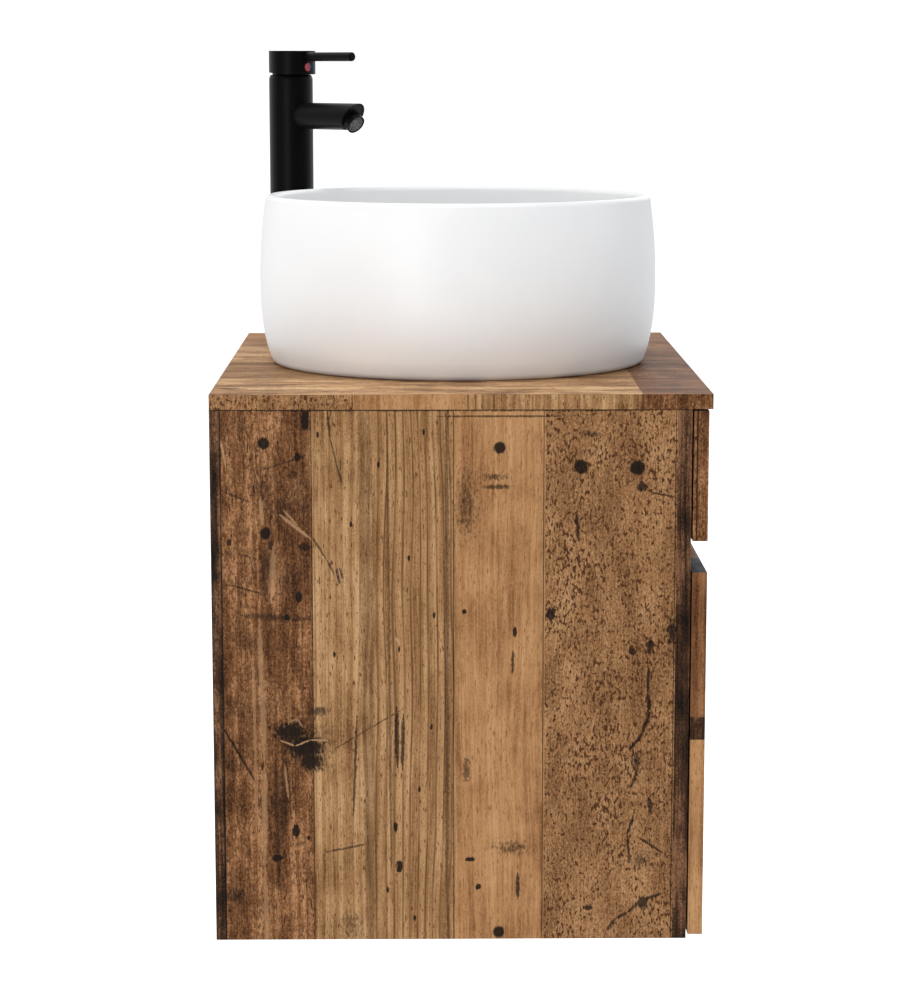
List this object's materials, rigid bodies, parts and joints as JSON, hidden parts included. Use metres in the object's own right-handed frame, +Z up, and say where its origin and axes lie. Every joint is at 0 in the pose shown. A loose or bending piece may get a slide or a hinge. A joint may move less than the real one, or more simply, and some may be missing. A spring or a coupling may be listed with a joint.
{
  "type": "vessel sink on vanity",
  "caption": "Wall-hung box vanity in reclaimed-wood finish with handleless drawers, a round white vessel basin and a tall matt black single-lever basin mixer.",
  "frame": {"origin": "on the wall, midway between the two wall bolts", "axes": "+Z up, +Y into the wall, the drawers open along -Y, X along the wall"},
  "size_m": [0.5, 0.4, 0.718],
  "materials": {
    "old_wood": "reclaimed plank print, satin",
    "inner_board": "melamine faced, satin",
    "dowel": "bare beech",
    "zinc_steel": "zinc plated",
    "screw_steel": "bright zinc",
    "white_plastic": "moulded satin",
    "basin_glaze": "white gloss glaze",
    "matt_black": "matt black",
    "rubber": "matt",
    "brass": "bright",
    "index_enamel": "red and blue halves"
  },
  "bodies": {
    "cabinet": {"worktop": "old_wood", "side_panel_left": "old_wood", "side_panel_right": "old_wood", "bottom_panel": "old_wood", "back_rail_top": "inner_board", "back_rail_bottom": "inner_board", "mid_stretcher": "inner_board", "carcass_dowels": "dowel", "wall_rail": "zinc_steel", "hanger_left": "zinc_steel", "hanger_right": "zinc_steel", "cabinet_screws": "screw_steel", "upper_runner_cabinet_left": "zinc_steel", "upper_runner_cabinet_right": "zinc_steel", "lower_runner_cabinet_left": "zinc_steel", "lower_runner_cabinet_right": "zinc_steel", "basin": "basin_glaze", "waste_body": "matt_black", "waste_washer": "rubber", "waste_nut": "screw_steel", "trap_inlet_nut": "white_plastic", "trap_head": "white_plastic", "trap_bottle": "white_plastic", "trap_outlet_nut": "white_plastic", "trap_outlet_pipe": "white_plastic", "tap_body": "matt_black", "tap_spout": "matt_black", "aerator": "matt_black", "tap_base_seal": "rubber", "tap_stud": "screw_steel", "tap_fixing_nut": "brass", "tap_washer": "screw_steel", "cartridge": "white_plastic", "cartridge_nut": "matt_black"},
    "upper_drawer": {"upper_front": "old_wood", "upper_drawer_subfront": "inner_board", "upper_drawer_side_left": "inner_board", "upper_drawer_side_right": "inner_board", "upper_drawer_back": "inner_board", "upper_drawer_bottom": "inner_board", "trap_surround": "white_plastic", "upper_drawer_screws": "screw_steel", "upper_runner_drawer_left": "zinc_steel", "upper_runner_drawer_right": "zinc_steel"},
    "lower_drawer": {"lower_front": "old_wood", "lower_drawer_subfront": "inner_board", "lower_drawer_side_left": "inner_board", "lower_drawer_side_right": "inner_board", "lower_drawer_back": "inner_board", "lower_drawer_bottom": "inner_board", "lower_drawer_screws": "screw_steel", "lower_runner_drawer_left": "zinc_steel", "lower_runner_drawer_right": "zinc_steel"},
    "upper_runner": {"upper_runner_middles": "zinc_steel"},
    "lower_runner": {"lower_runner_middles": "zinc_steel"},
    "plug": {"waste_plug": "matt_black"},
    "tap_stem": {"cartridge_stem": "screw_steel"},
    "tap_handle": {"handle_cap": "matt_black", "lever": "matt_black", "index_button": "index_enamel"}
  },
  "joints": [
    {"name": "upper_drawer_slide", "type": "slide", "parent": "cabinet", "child": "upper_drawer", "axis": [0, -1, 0], "range_m": [0, 0.26]},
    {"name": "upper_runner_slide", "type": "slide", "parent": "cabinet", "child": "upper_runner", "axis": [0, -1, 0], "range_m": [0, 0.13]},
    {"name": "lower_drawer_slide", "type": "slide", "parent": "cabinet", "child": "lower_drawer", "axis": [0, -1, 0], "range_m": [0, 0.26]},
    {"name": "lower_runner_slide", "type": "slide", "parent": "cabinet", "child": "lower_runner", "axis": [0, -1, 0], "range_m": [0, 0.13]},
    {"name": "tap_swivel", "type": "hinge", "parent": "cabinet", "child": "tap_stem", "pos_m": [0.15, -0.048, 0.308], "axis": [0, 0, 1], "range_deg": [-40, 40]},
    {"name": "tap_lift", "type": "hinge", "parent": "tap_stem", "child": "tap_handle", "pos_m": [0.16131, -0.03669, 0.3108], "axis": [-0.7071, 0.7071, 0], "range_deg": [0, 20]},
    {"name": "plug_slide", "type": "slide", "parent": "cabinet", "child": "plug", "axis": [0, 0, 1], "range_m": [0, 0.01]}
  ],
  "couplings": [
    {"joint": "upper_runner_slide", "follows": "upper_drawer_slide", "ratio": 0.5},
    {"joint": "lower_runner_slide", "follows": "lower_drawer_slide", "ratio": 0.5}
  ]
}
